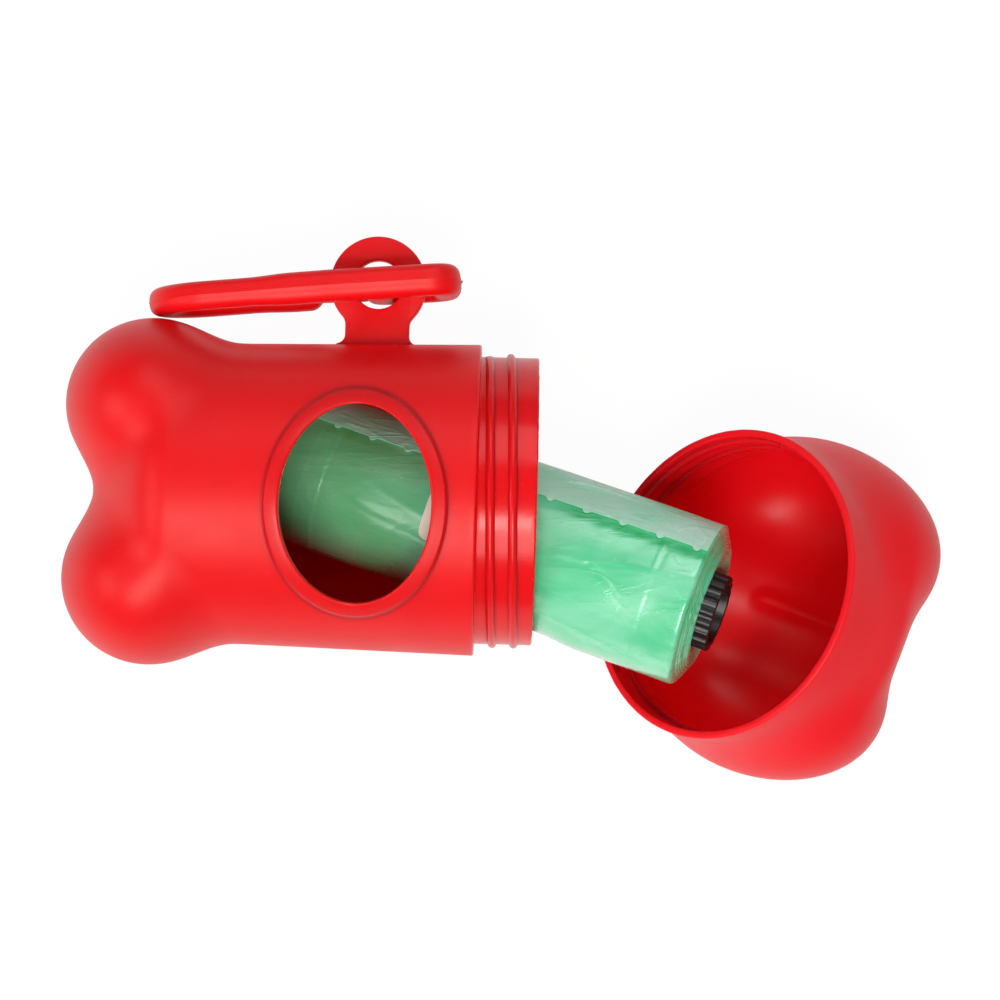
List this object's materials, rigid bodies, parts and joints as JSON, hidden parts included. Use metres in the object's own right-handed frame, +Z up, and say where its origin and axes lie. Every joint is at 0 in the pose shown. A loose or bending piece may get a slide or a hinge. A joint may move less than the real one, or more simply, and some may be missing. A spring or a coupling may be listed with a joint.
{
  "type": "waste bag dispenser",
  "caption": "Bone-shaped screw-top pocket dispenser for rolled waste bags, lying open: cap off, roll leaning out of the threaded neck, window in the body, snap hook on a hanging tab.",
  "frame": {"origin": "on the body's axis, at the centre of the shoulder plane that the cap closes against, where the screw neck starts", "axes": "+X along the body's axis, out of the mouth; +Y towards the hanging tab; +Z up, out of the window, with the part lying on a level surface"},
  "size_m": [0.1198, 0.073, 0.0427],
  "materials": {
    "red_shell": "satin moulded polyethylene with a faint mottle",
    "red_hook": "satin moulded plastic with a parting line",
    "black_core": "ribbed black tube",
    "green_film": "wound mint-green film, creased",
    "clear_green_film": "single layer of pale green film, creased",
    "label_paper": "smooth blank sticker"
  },
  "bodies": {
    "body": {"housing": "red_shell"},
    "cap": {"cap": "red_shell"},
    "hook": {"snap_hook": "red_hook"},
    "gate": {"hook_gate": "red_hook"},
    "core": {"roll_core": "black_core"},
    "roll": {"bag_roll": "green_film", "first_bag": "clear_green_film", "roll_label": "label_paper"}
  },
  "joints": [
    {"name": "hook_swing", "type": "hinge", "parent": "body", "child": "hook", "pos_m": [-0.01425, 0.029, 0], "axis": [0, 0, 1], "range_deg": [-36, 0]},
    {"name": "gate_flex", "type": "hinge", "parent": "hook", "child": "gate", "pos_m": [-0.01699, 0.02876, -0.00505], "axis": [-0.0865, 0.9962, 0], "range_deg": [0, 18], "stiffness_Nm_per_rad": 0.005},
    {"name": "roll_slide", "type": "slide", "parent": "body", "child": "core", "axis": [0.9267, -0.2931, 0.2353], "range_m": [0, 0.014]},
    {"name": "roll_spin", "type": "hinge", "parent": "core", "child": "roll", "pos_m": [-0.0289, 0.00571, -0.00657], "axis": [0.9267, -0.2931, 0.2353], "continuous": true},
    {"name": "cap_away", "type": "slide", "parent": "body", "child": "cap", "axis": [0.9455, -0.3256, 0], "range_m": [0, 0.04]}
  ]
}
